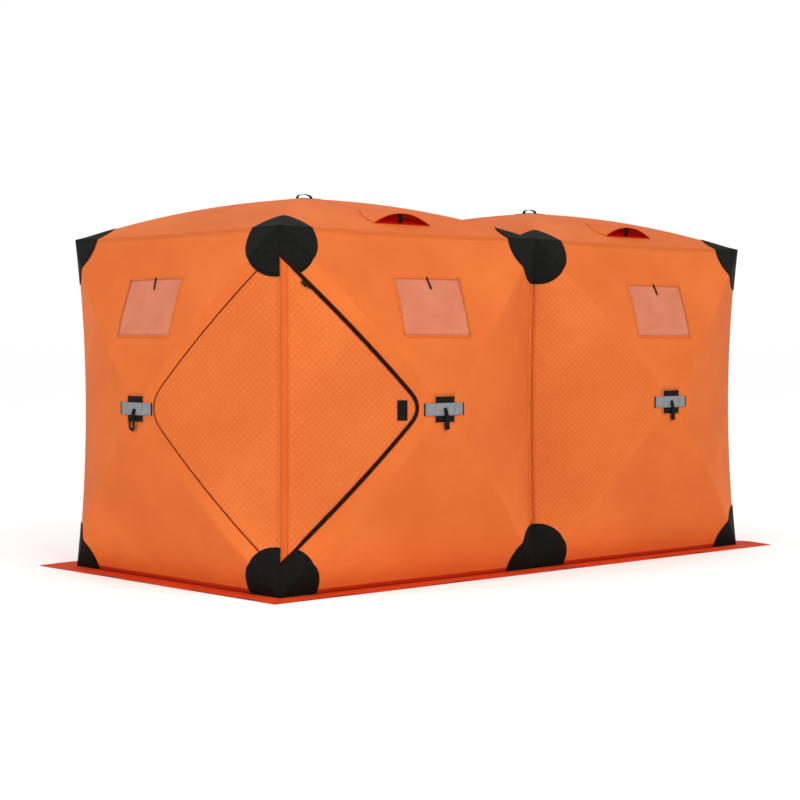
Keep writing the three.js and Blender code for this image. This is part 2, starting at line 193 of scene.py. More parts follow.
class Panel:
    """One square of cloth with its hub; x is to its right and y up as seen from outside."""

    def __init__(self, name, centre, right, up, kinds, bulge, half_up):
        self.name = name
        self.centre = np.array(centre, float)
        self.right = np.array(right, float)
        self.up = np.array(up, float)
        self.out = np.cross(self.right, self.up)
        self.kinds = dict(zip(EDGES, kinds))
        self.bulge = bulge
        self.half_up = half_up
        self.hub = name + "_hub"

    def reach(self, edge):
        """Distance from the panel's middle to this edge."""
        return self.half_up if edge in ("bottom", "top") else HALF

    def half_width(self, edge):
        return HALF if edge in ("bottom", "top") else self.half_up

    def depth(self, edge):
        """Distance from this edge in to the hub's square."""
        return self.reach(edge) - HUB_SQUARE

    def world(self, x, y, z):
        x, y, z = np.broadcast_arrays(x, y, z)
        return (
            self.centre
            + x[..., None] * self.right
            + y[..., None] * self.up
            + z[..., None] * self.out
        )

    def cloth_local(self, edge, s, d):
        """Place on the outside of the cloth, in the panel's frame, for nominal s and d."""
        s, d = np.broadcast_arrays(np.asarray(s, float), np.asarray(d, float))
        depth = self.depth(edge)
        t = np.clip(d / depth, 0, 1)
        half = self.half_width(edge) * (1 - t) + HUB_SQUARE * t
        u = np.clip((s / half + 1) / 2, 0, 1)
        height = self.bulge * t + 4 * RIDGE_BOW * t * (1 - t)
        kind = self.kinds[edge]
        drop = SAG[kind] * 4 * u * (1 - u) * (1 - t) ** 2
        slope = (self.bulge + 4 * RIDGE_BOW * (1 - 2 * t)) / depth
        to_ridge = np.minimum(u, 1 - u) * 2 * half / math.sqrt(2)
        near = np.clip(RIDGE_ROUND - to_ridge, 0, None) ** 2 / (2 * RIDGE_ROUND)
        height = height - drop - slope / math.sqrt(2) * near * np.clip(t / ROUNDING_START, 0, 1)
        inward = d + (0 if kind == "join" else drop)
        tx, ty = TOWARDS[edge]
        ax, ay = ALONG[edge]
        reach = self.reach(edge)
        return tx * (reach - inward) + ax * s, ty * (reach - inward) + ay * s, height

    def cloth(self, edge, s, d, lift=0.0):
        """The same place in the row frame, lifted off the cloth along its normal."""
        at = self.world(*self.cloth_local(edge, s, d))
        if np.any(lift):
            step = NORMAL_STEP
            along = self.world(*self.cloth_local(edge, s + step, d)) - at
            inner = np.minimum(d + step, self.depth(edge))
            inner = np.where(inner - d < step / 2, d - step, inner)
            sign = np.where(inner > d, 1.0, -1.0)[..., None]
            across = (self.world(*self.cloth_local(edge, s, inner)) - at) * sign
            normal = np.cross(along, across)
            normal /= np.maximum(np.linalg.norm(normal, axis=-1, keepdims=True), 1e-12)
            normal *= np.sign(np.sum(normal * self.out, axis=-1, keepdims=True))
            at = at + normal * np.asarray(lift, float)[..., None]
        return at

    def plane_point(self, edge, d, s=0.0):
        """Point on the panel's flat plane, d in from an edge: where a bend starts or ends."""
        tx, ty = TOWARDS[edge]
        ax, ay = ALONG[edge]
        reach = self.reach(edge)
        return self.world(
            np.array(tx * (reach - d) + ax * s), np.array(ty * (reach - d) + ay * s), np.array(0.0)
        )


def wall(name, x, y, right, kinds):
    return Panel(name, (x, y, WALL_HEIGHT / 2), right, (0, 0, 1), kinds, WALL_BULGE, WALL_HEIGHT / 2)


def roof(name, x, kinds):
    return Panel(name, (x, 0, WALL_HEIGHT), (1, 0, 0), (0, 1, 0), kinds, ROOF_BULGE, HALF)


PANELS = {
    p.name: p
    for p in (
        wall("front_left", -HALF, -HALF, (1, 0, 0), ("ground", "join", "eave", "corner")),
        wall("front_right", HALF, -HALF, (1, 0, 0), ("ground", "corner", "eave", "join")),
        wall("right_end", CUBE_SIDE, 0, (0, 1, 0), ("ground", "corner", "eave", "corner")),
        wall("back_right", HALF, HALF, (-1, 0, 0), ("ground", "join", "eave", "corner")),
        wall("back_left", -HALF, HALF, (-1, 0, 0), ("ground", "corner", "eave", "join")),
        wall("left_end", -CUBE_SIDE, 0, (0, -1, 0), ("ground", "corner", "eave", "corner")),
        roof("left_roof", -HALF, ("eave", "join", "eave", "eave")),
        roof("right_roof", HALF, ("eave", "eave", "eave", "join")),
    )
}
WALLS = [p for p in PANELS.values() if p.kinds["bottom"] == "ground"]
ROOFS = [PANELS["left_roof"], PANELS["right_roof"]]


# ---------------------------------------------------------------- materials

def linear(red, green, blue):
    """A colour given as it looks on a screen, from 0 to 255, as the shader's own numbers."""
    def one(value):
        v = value / 255
        return v / 12.92 if v <= 0.04045 else ((v + 0.055) / 1.055) ** 2.4
    return (one(red), one(green), one(blue), 1.0)


class Shader:
    """A node tree with short ways to add what the cloths need."""

    def __init__(self, name, roughness, metallic=0.0, shine=0.5):
        self.material = bpy.data.materials.new(name)
        self.material.use_nodes = True
        self.tree = self.material.node_tree
        self.principled = self.tree.nodes["Principled BSDF"]
        self.output = self.tree.nodes["Material Output"]
        self.principled.inputs["Roughness"].default_value = roughness
        self.principled.inputs["Metallic"].default_value = metallic
        self.principled.inputs["Specular IOR Level"].default_value = shine
        self.uv = self.add("ShaderNodeUVMap").outputs["UV"]

    def add(self, kind, **values):
        node = self.tree.nodes.new(kind)
        for key, value in values.items():
            setattr(node, key, value)
        return node

    def link(self, source, target):
        self.tree.links.new(source, target)

    def math(self, operation, first, second=None):
        node = self.add("ShaderNodeMath", operation=operation)
        for index, value in enumerate((first, second)):
            if value is None:
                continue
            if hasattr(value, "is_output"):
                self.link(value, node.inputs[index])
            else:
                node.inputs[index].default_value = value
        return node.outputs[0]

    def noise(self, scale, detail=3.0, roughness=0.5, stretch=(1, 1, 1)):
        mapping = self.add("ShaderNodeMapping")
        mapping.inputs["Scale"].default_value = stretch
        self.link(self.uv, mapping.inputs["Vector"])
        node = self.add("ShaderNodeTexNoise")
        node.inputs["Scale"].default_value = scale
        node.inputs["Detail"].default_value = detail
        node.inputs["Roughness"].default_value = roughness
        self.link(mapping.outputs["Vector"], node.inputs["Vector"])
        return node.outputs["Fac"]

    def ramp(self, factor, stops):
        node = self.add("ShaderNodeValToRGB")
        for index, (place, colour) in enumerate(stops):
            element = node.color_ramp.elements[index] if index < 2 else node.color_ramp.elements.new(place)
            element.position = place
            element.color = colour
        self.link(factor, node.inputs["Fac"])
        return node.outputs["Color"]

    def waves(self, pitch, turn=0.0):
        """Ridges a pitch apart across the cloth's own x, turned by an angle: 0 to 1 and back."""
        parts = self.add("ShaderNodeSeparateXYZ")
        mapping = self.add("ShaderNodeMapping")
        mapping.inputs["Rotation"].default_value = (0, 0, turn)
        self.link(self.uv, mapping.inputs["Vector"])
        self.link(mapping.outputs["Vector"], parts.inputs[0])
        angle = self.math("MULTIPLY", parts.outputs["X"], math.pi / pitch)
        return self.math("ABSOLUTE", self.math("SINE", angle))

    def bump(self, height, distance, strength=1.0, below=None):
        node = self.add("ShaderNodeBump")
        node.inputs["Distance"].default_value = distance
        node.inputs["Strength"].default_value = strength
        self.link(height, node.inputs["Height"])
        if below is not None:
            self.link(below, node.inputs["Normal"])
        return node.outputs["Normal"]

    def height_share(self, reach):
        """0 on the ground and 1 at a height of reach."""
        parts = self.add("ShaderNodeSeparateXYZ")
        self.link(self.add("ShaderNodeNewGeometry").outputs["Position"], parts.inputs[0])
        return self.math("DIVIDE", parts.outputs["Z"], reach)

    def shaded(self, colour, amount, darkest):
        """The colour times darkest where amount is 0, and unchanged where it is 1."""
        level = self.add("ShaderNodeMapRange")
        level.inputs["To Min"].default_value = darkest
        self.link(amount, level.inputs["Value"])
        mix = self.add("ShaderNodeMix", data_type="RGBA", blend_type="MULTIPLY")
        mix.inputs["Factor"].default_value = 1.0
        self.link(colour, mix.inputs[6])
        self.link(level.outputs["Result"], mix.inputs[7])
        return mix.outputs[2]

    def colour(self, output):
        self.link(output, self.principled.inputs["Base Color"])

    def normal(self, output):
        self.link(output, self.principled.inputs["Normal"])

    def let_light_through(self, share, colour):
        glow = self.add("ShaderNodeBsdfTranslucent")
        glow.inputs["Color"].default_value = colour
        mix = self.add("ShaderNodeMixShader")
        mix.inputs["Fac"].default_value = share
        self.link(self.principled.outputs[0], mix.inputs[1])
        self.link(glow.outputs[0], mix.inputs[2])
        self.link(mix.outputs[0], self.output.inputs["Surface"])


def weave_normal(shader, pitch, distance):
    warp = shader.waves(pitch)
    weft = shader.waves(pitch, math.pi / 2)
    threads = shader.math("MAXIMUM", warp, weft)
    return shader.bump(threads, distance)


STITCH = {"inset": 0.009, "row": 0.007, "half_width": 0.0008, "rate": 900.0, "gap": -0.4}


def stitches(shader):
    """1 on bare cloth and 0 on the stitches of two rows along the cloth's outer edge."""
    parts = shader.add("ShaderNodeSeparateXYZ")
    shader.link(shader.uv, parts.inputs[0])
    along = shader.math("SINE", shader.math("MULTIPLY", parts.outputs["X"], STITCH["rate"]))
    dash = shader.math("GREATER_THAN", along, STITCH["gap"])
    rows = []
    for place in (STITCH["inset"], STITCH["inset"] + STITCH["row"]):
        away = shader.math("ABSOLUTE", shader.math("SUBTRACT", parts.outputs["Y"], place))
        rows.append(shader.math("LESS_THAN", away, STITCH["half_width"]))
    thread = shader.math("MULTIPLY", shader.math("MAXIMUM", rows[0], rows[1]), dash)
    return shader.math("SUBTRACT", 1.0, thread)


# the cloth is paler near the ground, where the pale floor throws light back on it
LOW_LIGHT = {"reach": 0.40, "gain": 1.25}


def oxford(name, colour, dark, light, quilt=None, roughness=0.62, stitched=False, low_light=False):
    """Coated woven cloth: fine threads, faint soiling and creases, and light through it."""
    shader = Shader(name, roughness=roughness, shine=0.06)
    tone = shader.noise(scale=1.6, detail=5.0, roughness=0.55)
    base = shader.ramp(tone, [(0.30, dark), (0.70, light), (0.52, colour)])
    normal = weave_normal(shader, pitch=0.0016, distance=0.0002)
    folds = shader.noise(scale=3.2, detail=2.0, stretch=(1.0, 0.55, 1.0))
    normal = shader.bump(folds, distance=0.010, strength=0.35, below=normal)
    if quilt:
        first = shader.waves(quilt, math.pi / 4)
        second = shader.waves(quilt, -math.pi / 4)
        cells = shader.math("POWER", shader.math("MINIMUM", first, second), 0.45)
        normal = shader.bump(cells, distance=0.0028, strength=0.8, below=normal)
        # the grooves between the quilt's cells are also painted darker: painted shade in the grooves
        base = shader.shaded(base, cells, darkest=0.90)
    if low_light:
        base = shader.shaded(base, shader.height_share(LOW_LIGHT["reach"]), darkest=LOW_LIGHT["gain"])
    if stitched:
        bare = stitches(shader)
        normal = shader.bump(bare, distance=0.0006, below=normal)
        base = shader.shaded(base, bare, darkest=0.72)
    shader.colour(base)
    shader.normal(normal)
    red, green, blue = colour[:3]
    shader.let_light_through(0.16, (red, green * 0.45, blue * 0.25, 1.0))
    return shader.material


def webbing(name, colour, light, pitch=0.0024, roughness=0.75):
    """Woven strap or heavy cloth with a ribbed face and paler rubbed threads."""
    shader = Shader(name, roughness=roughness, shine=0.07)
    rub = shader.noise(scale=38.0, detail=4.0, roughness=0.6)
    shader.colour(shader.ramp(rub, [(0.35, colour), (0.80, light)]))
    shader.normal(weave_normal(shader, pitch, distance=0.0004))
    return shader.material


def plastic(name, colour, light, roughness=0.45):
    """Moulded plastic: a fine grain, and paler where it has worn."""
    shader = Shader(name, roughness=roughness)
    grain = shader.add("ShaderNodeTexNoise")
    grain.inputs["Scale"].default_value = 900.0
    wear = shader.add("ShaderNodeTexNoise")
    wear.inputs["Scale"].default_value = 26.0
    shader.colour(shader.ramp(wear.outputs["Fac"], [(0.4, colour), (0.75, light)]))
    shader.normal(shader.bump(grain.outputs["Fac"], distance=0.0002, strength=0.6))
    return shader.material


def metal(name, dark, light):
    """Painted metal, scratched along its length."""
    shader = Shader(name, roughness=0.35, metallic=0.9)
    scratch = shader.noise(scale=120.0, detail=2.0, stretch=(1, 8, 1))
    shader.colour(shader.ramp(scratch, [(0.35, dark), (0.75, light)]))
    return shader.material


def film(name, dark, light):
    """Translucent window film with a milky haze and faint ripples."""
    shader = Shader(name, roughness=0.45, shine=0.16)
    haze = shader.noise(scale=5.0, detail=2.0)
    shader.colour(shader.ramp(haze, [(0.3, dark), (0.7, light)]))
    ripples = shader.noise(scale=7.0, detail=1.0, stretch=(1, 0.4, 1))
    shader.normal(shader.bump(ripples, distance=0.004, strength=0.4))
    shader.principled.inputs["Alpha"].default_value = 0.86
    return shader.material


def cloth_tones(red, green, blue, spread=8):
    """Middle, darker and lighter tone of one dyed cloth."""
    return [linear(red + k, green + k, blue + k * 0.6) for k in (0, -spread, spread)]


def glowing(material, colour, strength):
    """The same material with a faint light of its own, for the light that comes through the hood."""
    principled = material.node_tree.nodes["Principled BSDF"]
    principled.inputs["Emission Color"].default_value = colour
    principled.inputs["Emission Strength"].default_value = strength
    return material


def make_materials():
    lining = oxford("vent_lining", *cloth_tones(176, 12, 6))
    outer = {"stitched": True, "low_light": True}
    return {
        "orange": oxford("orange_cloth", *cloth_tones(215, 108, 49), **outer),
        "quilted": oxford("quilted_cloth", *cloth_tones(219, 111, 52), quilt=0.024, **outer),
        # the crease cloth is painted darker and redder than the cloth beside it: painted shade of the
        # door's fold
        "crease": oxford("crease_cloth", *cloth_tones(210, 96, 40)),
        "skirt": oxford("skirt_cloth", *cloth_tones(221, 72, 28), roughness=0.7),
        "foot": oxford("foot_tape", *cloth_tones(196, 56, 22)),
        "edge": oxford("edge_tape", *cloth_tones(214, 105, 47)),
        "lining": glowing(lining, linear(200, 12, 6), 0.22),
        "patch": webbing("patch_cloth", linear(14, 14, 13), linear(22, 22, 20), pitch=0.0020),
        "strap": webbing("black_strap", linear(13, 13, 12), linear(24, 24, 23)),
        "grey": webbing("grey_webbing", linear(114, 116, 118), linear(132, 134, 136), roughness=0.5),
        "seam": webbing("seam_piping", linear(84, 18, 5), linear(108, 28, 10), roughness=0.6),
        "fold": webbing("join_seam", linear(160, 62, 26), linear(176, 72, 34)),
        "zip": webbing("zip_tape", linear(34, 11, 2), linear(44, 17, 5), pitch=0.0014),
        "coil": webbing("zip_coil", linear(24, 8, 2), linear(36, 14, 4), pitch=0.0012),
        "hub": plastic("hub_plastic", linear(24, 23, 22), linear(38, 37, 35)),
        "pole": plastic("pole_glass_fibre", linear(196, 190, 172), linear(212, 206, 190), roughness=0.4),
        "window": film("window_film", linear(192, 108, 78), linear(202, 120, 90)),
        "metal": metal("zip_metal", linear(34, 22, 16), linear(62, 46, 36)),
    }


MATERIALS = make_materials()


# ---------------------------------------------------------------- mesh helpers

def face_outward(piece, outward):
    """Turns a sheet over if it faces away from a direction."""
    if sum(p.normal.dot(Vector(outward)) * p.area for p in piece.data.polygons) < 0:
        piece.data.flip_normals()


def mesh_object(name, points, faces, look, uvs=None, outward=None):
    """A smooth-shaded piece with its material."""
    mesh = bpy.data.meshes.new(name)
    mesh.from_pydata([tuple(p) for p in points], [], [tuple(f) for f in faces])
    layer = mesh.uv_layers.new(name="cloth")
    if uvs is not None:
        loops = np.empty(len(mesh.loops), np.int32)
        mesh.loops.foreach_get("vertex_index", loops)
        layer.data.foreach_set("uv", np.asarray(uvs, np.float32)[loops].ravel())
    mesh.materials.append(MATERIALS[look])
    mesh.shade_smooth()
    mesh.update()
    made = bpy.data.objects.new(name, mesh)
    bpy.context.scene.collection.objects.link(made)
    if outward is not None:
        face_outward(made, outward)
    return made


def thicken(piece, thickness, offset=-1.0):
    """Gives a sheet its thickness; offset -1 keeps its outside where it is."""
    solid = piece.modifiers.new("thickness", "SOLIDIFY")
    solid.thickness = thickness
    solid.offset = offset
    solid.use_even_offset = False


def soften_edges(piece, width, segments):
    soft = piece.modifiers.new("edges", "BEVEL")
    soft.width = width
    soft.segments = segments
    return soft


def grid_faces(rows, columns, closed=False):
    """Faces of a grid of points, row by row; closed joins each row's end to its start."""
    faces = []
    for row in range(rows - 1):
        first = row * columns
        for k in range(columns if closed else columns - 1):
            after = (k + 1) % columns
            faces.append((first + k, first + after, first + columns + after, first + columns + k))
    return faces


def flat_mesh(s, d, faces):
    """A sheet drawn flat, x = s and y = d, ready to be cut."""
    sheet = bmesh.new()
    made = [sheet.verts.new((x, y, 0)) for x, y in zip(s, d)]
    for face in faces:
        corners = [made[i] for i in face]
        if len(set(corners)) >= 3:
            sheet.faces.new(corners)
    return sheet


def cut_along(sheet, place, normal):
    """Cuts a flat sheet along a line."""
    geometry = sheet.verts[:] + sheet.edges[:] + sheet.faces[:]
    bmesh.ops.bisect_plane(sheet, geom=geometry, dist=TOUCH, plane_co=place, plane_no=normal)


def cut_by(sheet, outline):
    """Cuts a flat sheet along every side of a convex outline."""
    for (x0, y0), (x1, y1) in zip(outline, outline[1:] + outline[:1]):
        cut_along(sheet, Vector((x0, y0, 0)), Vector((y1 - y0, x0 - x1, 0)).normalized())


def inside(outline, x, y):
    signs = [
        (x1 - x0) * (y - y0) - (y1 - y0) * (x - x0)
        for (x0, y0), (x1, y1) in zip(outline, outline[1:] + outline[:1])
    ]
    return all(v > 0 for v in signs) or all(v < 0 for v in signs)


def keep_faces(sheet, test):
    gone = [f for f in sheet.faces if not test(*f.calc_center_median()[:2])]
    bmesh.ops.delete(sheet, geom=gone, context="FACES")


def cut_out(sheet, outline):
    """Takes the part of a flat sheet inside an outline away."""
    cut_by(sheet, outline)
    keep_faces(sheet, lambda x, y: not inside(outline, x, y))


def laid_on(panel, edge, sheet, name, look, lift=0.0):
    """Lays a flat sheet on a triangle of the panel's cloth. It takes the sheet's own s and d as its UVs."""
    sheet.verts.ensure_lookup_table()
    flat = np.array([v.co[:2] for v in sheet.verts], float).reshape(-1, 2)
    for index, vertex in enumerate(sheet.verts):
        vertex.index = index
    faces = [[v.index for v in f.verts] for f in sheet.faces]
    sheet.free()
    points = panel.cloth(edge, flat[:, 0], flat[:, 1], lift)
    return mesh_object(name, points, faces, look, flat, outward=panel.out)


def follow_panel(piece, panel, edge):
    """Bakes the piece's placement into its mesh."""
    start = panel.plane_point(edge, 0.0)
    end = panel.plane_point(edge, panel.depth(edge))
    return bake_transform(piece)


def sewn_on(piece, panel, edge, thickness):
    """Thickens a piece and bakes its placement into its mesh."""
    thicken(piece, thickness)
    return follow_panel(piece, panel, edge)


# ---------------------------------------------------------------- panels of cloth

ROWS = 34
COLUMNS = 60
CROWDING = 0.85
ROUND_STEPS = 8
MOSTLY_OPEN = 0.35
STRIP_FILL = 0.8
SEAM_ALLOWANCE = 1.08
FULL = 0.999


def spread(count, crowd):
    """Numbers from 0 to 1, closer together towards both ends."""
    x = np.linspace(0, 1, count)
    return x - crowd * np.sin(2 * math.pi * x) / (2 * math.pi)


def triangle_sheet(panel, edge):
    """The whole triangle, drawn flat, with more points beside the ridges."""
    t = np.linspace(0, 1, ROWS)
    u = spread(COLUMNS, CROWDING)
    half = panel.half_width(edge) * (1 - t) + HUB_SQUARE * t
    s = (2 * u[None, :] - 1) * half[:, None]
    d = np.repeat(t * panel.depth(edge), COLUMNS)
    return flat_mesh(s.ravel(), d, grid_faces(ROWS, COLUMNS))


def door_outline(panel, edge, grow=0.0):
    """Half diamond from the crease, as s and d, with a rounded point; grow widens it all round."""
    # s runs down the crease on a left edge, and up it on a right edge
    sign = ALONG[edge][1]
    sewn = (panel.name, edge) in SEWN_SIDES
    rounding = SEWN_ROUND if sewn else DOOR_ROUND
    grow = grow + SEWN_GROW if sewn else grow
    raised = 0.0 if sewn else FLAP_RAISE
    top = sign * (DOOR_HIGH + raised - WALL_HEIGHT / 2)
    low = sign * (DOOR_LOW - WALL_HEIGHT / 2)
    middle = (top + low) / 2
    nominal = abs(top - low) / 2
    half = nominal + grow * math.hypot(nominal, DOOR_REACH) / DOOR_REACH
    reach = half * DOOR_REACH / nominal
    slope = half / reach
    towards = 1 if low > top else -1
    start = np.array([middle - towards * rounding * slope, reach - rounding])
    end = np.array([middle + towards * rounding * slope, reach - rounding])
    control = np.array([middle, reach])
    points = [(middle - towards * half, 0.0)]
    for r in np.linspace(0, 1, ROUND_STEPS + 1):
        x, y = (1 - r) ** 2 * start + 2 * r * (1 - r) * control + r * r * end
        points.append((float(x), float(y)))
    points.append((middle + towards * half, 0.0))
    return points


DOOR_FLAPS = {("front_left", "left"): "front_door", ("back_right", "left"): "back_door"}
SEWN_SIDES = {("left_end", "right"): "front_door", ("right_end", "right"): "back_door"}
QUILTED = {("front_right", "left"), ("back_left", "left")}


def window_outline():
    half = WINDOW["width"] / 2
    top, bottom = WINDOW["top"], WINDOW["bottom"]
    return [(-half, top), (half, top), (half, bottom), (-half, bottom)]


def sheet_area(piece):
    return sum(p.area for p in piece.data.polygons)


def declare_stretched(piece, width, length):
    """Works out the sheet's cut size, where a cut that is mostly opening is two strips end to end; the
    result is not kept.
    """
    area = sheet_area(piece)
    if area < MOSTLY_OPEN * width * length:
        strips = 2 * math.hypot(width / 2, length)
        width, length = strips, area / strips / STRIP_FILL
    area = min(area, FULL * width * length)


def cloth_triangle(panel, edge):
    key = (panel.name, edge)
    sheet = triangle_sheet(panel, edge)
    if key in DOOR_FLAPS or key in SEWN_SIDES:
        cut_out(sheet, door_outline(panel, edge))
    if edge == "top" and panel in WALLS:
        cut_out(sheet, window_outline())
    look = "quilted" if key in QUILTED else "orange"
    piece = laid_on(panel, edge, sheet, f"{panel.name}_cloth_{edge}", look)
    declare_stretched(piece, 2 * panel.half_width(edge), SEAM_ALLOWANCE * panel.depth(edge))
    return sewn_on(piece, panel, edge, CLOTH)


def build_cloth():
    for panel in PANELS.values():
        pieces = [cloth_triangle(panel, edge) for edge in EDGES]
        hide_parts(panel.name + "_cloth")


# ---------------------------------------------------------------- what lies on the cloth

def polar_sheet(shape, far_angle, rings=9, spokes=16):
    """Sector of a disc from the edge, angle 0, to the ridge, drawn flat with its corner at 0, 0.

    It laps a little over both folds, so that it meets the patches beside it.
    """
    r = np.linspace(0, 1, rings)
    angle = np.linspace(0, far_angle, spokes)
    turned = angle / far_angle
    reach = shape["edge"] + (shape["ridge"] - shape["edge"]) * turned ** 2
    reach = reach + shape["belly"] * np.sin(math.pi * turned)
    s = r[:, None] * reach[None, :] * np.cos(angle)[None, :]
    d = r[:, None] * reach[None, :] * np.sin(angle)[None, :]
    turned = turned[None, :]
    s = s - PATCH_LAP * turned * math.sin(far_angle)
    d = d - PATCH_LAP * (1 - turned) + PATCH_LAP * turned * math.cos(far_angle)
    return s.ravel(), d.ravel(), grid_faces(rings, spokes)


def patch_kind(panel, edge):
    if panel in ROOFS:
        return "roof"
    return {"bottom": "foot", "top": "eave"}.get(edge, "side")


def corner_patch(panel, edge, end):
    """Black cloth over one outer corner of a triangle; end is -1 or 1 along s."""
    half = panel.half_width(edge)
    ridge = math.atan2(panel.depth(edge), half - HUB_SQUARE)
    s, d, faces = polar_sheet(PATCH_SHAPES[patch_kind(panel, edge)], ridge)
    if end > 0:
        faces = [face[::-1] for face in faces]
    sheet = flat_mesh(end * (half - s), d, faces)
    if (panel.name, edge) in DOOR_FLAPS:
        cut_out(sheet, door_outline(panel, edge))
    side = "first" if end < 0 else "last"
    piece = laid_on(panel, edge, sheet, f"{panel.name}_patch_{edge}_{side}", "patch", PATCH_LIFT)
    sewn_on(piece, panel, edge, PATCH_THICKNESS)


ACROSS = np.linspace(-0.5, 0.5, 5)


def run_along(path):
    """Distance of each point of a path from its start, along the path."""
    return np.concatenate([[0], np.cumsum(np.linalg.norm(np.diff(path, axis=0), axis=1))])


def tangents(path):
    tangent = np.gradient(path, axis=0)
    return tangent / np.linalg.norm(tangent, axis=1, keepdims=True)


def strip_on(panel, edge, path, width, name, look, lift, steps, side=0.0, taper=0.0):
    """A strip of given width along a path of s, d points.

    side shifts it across the path, and taper narrows it to the path over that length at both ends.
    """
    path = np.array(path, float)
    length = run_along(path)
    even = np.linspace(0, length[-1], steps)
    path = np.stack([np.interp(even, length, path[:, 0]), np.interp(even, length, path[:, 1])], 1)
    tangent = tangents(path)
    across = np.stack([-tangent[:, 1], tangent[:, 0]], 1)
    offsets = ACROSS * width + side
    run = run_along(path)
    share = np.ones(len(path))
    if taper:
        share = np.clip(np.minimum(run, run[-1] - run) / taper, NARROWEST, 1)
    flat = path[:, None, :] + across[:, None, :] * (offsets[None, :] * share[:, None])[..., None]
    s, d = flat[..., 0].ravel(), flat[..., 1].ravel()
    points = panel.cloth(edge, s, d, np.full(s.shape, lift))
    uvs = np.stack([np.tile(offsets, len(path)), np.repeat(run, len(offsets))], 1)
    faces = grid_faces(len(path), len(offsets))
    return mesh_object(name, points, faces, look, uvs, outward=panel.out)


# ---------------------------------------------------------------- hub trim and frame

def on_hub(panel, points, faces, name, look, thickness, uvs=None, offset=-1.0):
    """A small sheet, drawn in the panel's frame, that moves with its hub."""
    points = np.array(points, float)
    world = panel.world(points[:, 0], points[:, 1], points[:, 2])
    uvs = points[:, :2] if uvs is None else uvs
    piece = mesh_object(name, world, faces, look, uvs, outward=panel.out)
    thicken(piece, thickness, offset)
    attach(piece, panel.hub)


def square_grid(half_x, half_y, columns, rows):
    """Points of a grid round the middle of a panel, x along its rows."""
    x, y = np.meshgrid(np.linspace(-half_x, half_x, columns), np.linspace(-half_y, half_y, rows))
    return x.ravel(), y.ravel()


def hub_cloth(panel):
    """The flat square of cloth clamped under the hub's patch."""
    n = 5
    x, y = square_grid(HUB_SQUARE, HUB_SQUARE, n, n)
    points = np.stack([x, y, np.full(n * n, panel.bulge)], 1)
    on_hub(panel, points, grid_faces(n, n), panel.name + "_hub_cloth", "orange", CLOTH)


def hub_patch(panel):
    """Square black patch sewn over the hub's plate, a little domed, its edge lying on the cloth."""
    n = 15
    half = HUB_PATCH / 2 + HUB_PATCH_LAP
    x, y = square_grid(half, half, n, n)
    rim = np.clip(1 - np.maximum(abs(x), abs(y)) / half, 0, 1)
    z = panel.bulge + HUB_PATCH_LIFT + HUB_PATCH_RISE * np.clip(rim / HUB_PATCH_EDGE, 0, 1) ** 0.6
    points = np.stack([x, y, z], 1)
    on_hub(panel, points, grid_faces(n, n), panel.name + "_hub_patch", "patch", HUB_PATCH_THICKNESS)


def hub_band(panel):
    """Grey webbing across the hub: the middle moves with the hub, and each wing lies on the cloth."""
    rows, columns = 7, 11
    x, y = square_grid(HUB_SQUARE, BAND_HEIGHT / 2, columns, rows)
    points = np.stack([x, y, np.full(x.size, panel.bulge + BAND_LIFT)], 1)
    faces = grid_faces(rows, columns)
    on_hub(panel, points, faces, panel.name + "_hub_band", "grey", STRAP_THICKNESS)
    for edge in ("left", "right"):
        band_wing(panel, edge)


def band_wing(panel, edge):
    """One end of the grey webbing, coming down on to the cloth, with a black hem."""
    rows, columns = 12, 7
    name = f"{panel.name}_hub_band_{edge}"
    half = BAND_HEIGHT / 2
    depth = panel.depth(edge)
    wing = BAND_WIDTH / 2 - HUB_SQUARE
    s, d = np.meshgrid(np.linspace(-half, half, columns), np.linspace(depth, depth - wing, rows))
    s, d = s.ravel(), d.ravel()
    lift = np.interp((depth - d) / wing, [0, 1], [BAND_LIFT, BAND_END_LIFT])
    world = panel.cloth(edge, s, d, lift)
    uvs = np.stack([d, s], 1)
    piece = mesh_object(name, world, grid_faces(rows, columns), "grey", uvs, outward=panel.out)
    sewn_on(piece, panel, edge, STRAP_THICKNESS)
    line = [(-half, depth - wing), (half, depth - wing)]
    hem = strip_on(panel, edge, line, BAND_HEM["width"], name + "_hem", "strap", BAND_HEM["lift"], steps=6)
    sewn_on(hem, panel, edge, BAND_HEM["thickness"])


def ribbon(path, widths):
    """Points, faces and UVs of a flat strip along a path of x, y, z, its width in the x, y plane."""
    path = np.array(path, float)
    tangent = tangents(path)
    across = np.stack([-tangent[:, 1], tangent[:, 0], np.zeros(len(path))], 1)
    across /= np.maximum(np.linalg.norm(across, axis=1, keepdims=True), 1e-9)
    offsets = ACROSS[None, :] * np.asarray(widths, float)[:, None]
    points = path[:, None, :] + across[:, None, :] * offsets[..., None]
    uvs = np.stack([offsets.ravel(), np.repeat(run_along(path), len(ACROSS))], 1)
    return points.reshape(-1, 3), grid_faces(len(path), len(ACROSS)), uvs


def pull_strap(panel):
    """Flat strap sewn under the band's middle, hanging down in front of the panel, wider below."""
    t = np.linspace(0, 1, 16)
    bow = np.sin(math.pi * np.clip(t * 1.2, 0, 1))
    z = panel.bulge + STRAP_LIFT + PULL_STRAP_RISE["bow"] * bow + PULL_STRAP_RISE["end"] * t
    x, y = PULL_STRAP["start"]
    path = np.stack([PULL_STRAP["drift"] * t + x, y - STRAP_LENGTH * t, z], 1)
    points, faces, uvs = ribbon(path, PULL_STRAP["width"] + PULL_STRAP["flare"] * t ** 0.8)
    on_hub(panel, points, faces, panel.name + "_pull_strap", "strap", STRAP_THICKNESS, uvs)


